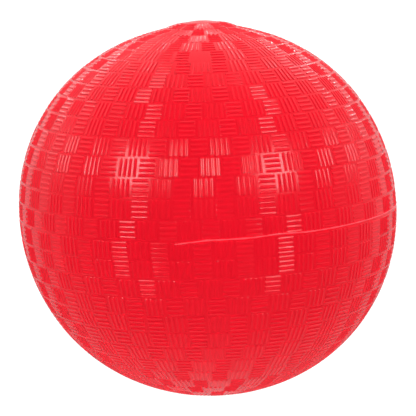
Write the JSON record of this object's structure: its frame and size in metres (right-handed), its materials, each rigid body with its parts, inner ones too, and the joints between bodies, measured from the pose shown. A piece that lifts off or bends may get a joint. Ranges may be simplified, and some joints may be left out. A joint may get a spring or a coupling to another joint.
{
  "type": "playground ball",
  "caption": "Inflated rubber playground ball with a basket-weave ribbed cover, a moulded parting line and a push-in inflation valve at the pole.",
  "frame": {"origin": "centre of the ball", "axes": "+Z along the mould axis, out through the inflation valve; the cover's parting line lies in the XY plane; +X right, +Y away from the viewer"},
  "size_m": [0.2164, 0.2164, 0.2161],
  "materials": {
    "cover_rubber": "glossy red rubber with moulded ribs",
    "ply_rubber": "dull dark red rubber sheet",
    "nylon_thread": "off-white wound nylon thread, bonded with rubber cement",
    "bladder_butyl": "matte black butyl rubber",
    "valve_rubber": "smooth black moulded rubber"
  },
  "bodies": {
    "ball": {"cover_upper": "cover_rubber", "cover_lower": "cover_rubber", "ply_left": "ply_rubber", "ply_right": "ply_rubber", "nylon_winding": "nylon_thread", "bladder_gore_1": "bladder_butyl", "bladder_gore_2": "bladder_butyl", "bladder_gore_3": "bladder_butyl", "bladder_gore_4": "bladder_butyl", "valve_patch": "bladder_butyl", "valve_housing": "valve_rubber"},
    "insert": {"valve_insert": "valve_rubber"}
  },
  "joints": [
    {"name": "valve_pull", "type": "slide", "parent": "ball", "child": "insert", "axis": [0, 0, 1], "range_m": [0, 0.02]}
  ]
}
